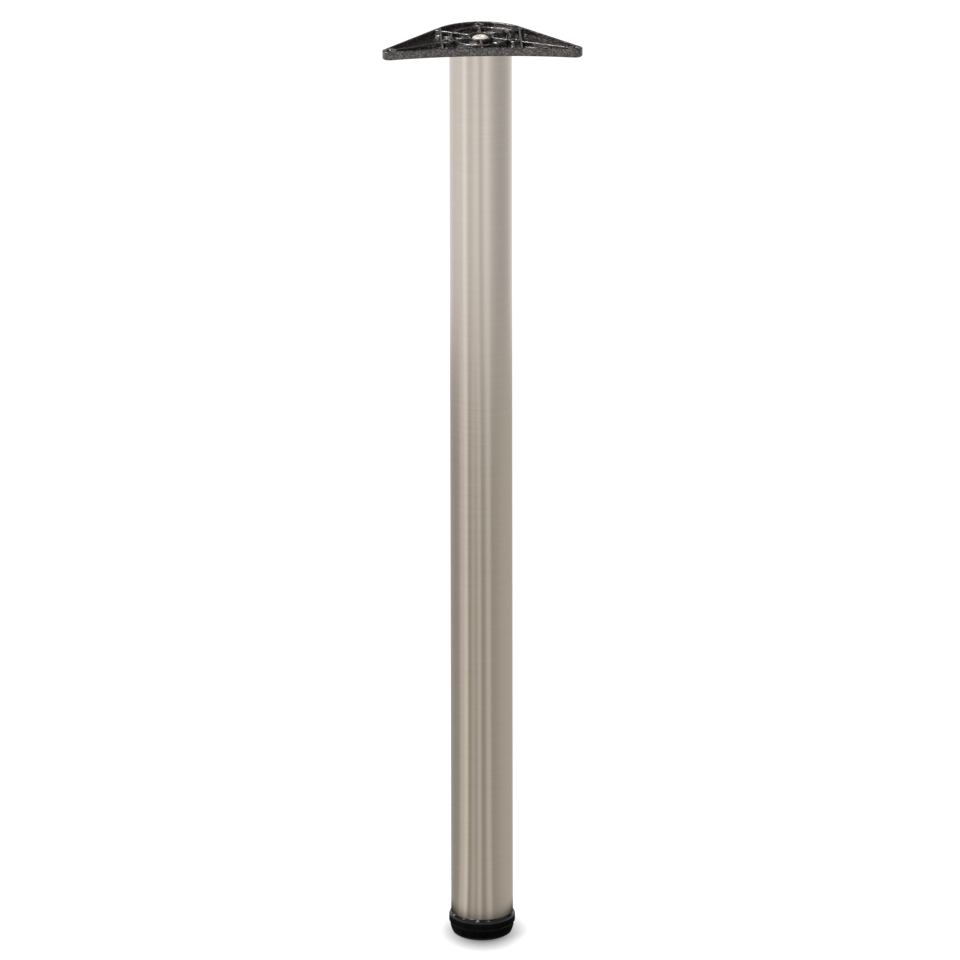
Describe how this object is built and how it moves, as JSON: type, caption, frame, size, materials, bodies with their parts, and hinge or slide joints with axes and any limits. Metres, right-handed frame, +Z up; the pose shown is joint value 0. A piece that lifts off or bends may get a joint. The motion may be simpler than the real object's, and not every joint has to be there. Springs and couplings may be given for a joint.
{
  "type": "height adjustable table leg",
  "caption": "Round brushed metal table leg with a ribbed cast corner plate at the top and a black screw foot that adjusts its height at the bottom.",
  "frame": {"origin": "on the floor, at the centre of the foot's underside, on the tube's axis", "axes": "+Z up along the tube to the mounting plate, +Y towards the plate's rounded back corner, +X towards one of its two arms; the plate is symmetric about the YZ plane"},
  "size_m": [0.192, 0.0928, 0.915],
  "materials": {
    "cast_plate": "glossy black hammered paint on a zinc casting",
    "brushed_tube": "warm brushed nickel plating",
    "zinc": "bright zinc plating",
    "plug_plastic": "black moulded plastic",
    "foot_plastic": "glossy black moulded plastic",
    "glide_plastic": "black low-friction plastic"
  },
  "bodies": {
    "leg": {"mounting_plate": "cast_plate", "tie_bolt": "zinc", "tie_bolt_lock_washer": "zinc", "tie_bolt_washer": "zinc", "top_plug": "plug_plastic", "top_plug_nut": "zinc", "leg_tube": "brushed_tube", "collar_plug": "foot_plastic", "spindle_nut": "zinc"},
    "glide": {"floor_glide": "glide_plastic"},
    "foot": {"foot_cup": "foot_plastic", "spindle": "zinc"}
  },
  "joints": [
    {"name": "foot_travel", "type": "slide", "parent": "leg", "child": "glide", "axis": [0, 0, -1], "range_m": [0, 0.025]},
    {"name": "foot_turn", "type": "hinge", "parent": "glide", "child": "foot", "pos_m": [0, 0, 0], "axis": [0, 0, -1], "range_deg": [0, 6000]}
  ],
  "couplings": [
    {"joint": "foot_turn", "follows": "foot_travel", "rad_per_m": 4188.8}
  ]
}
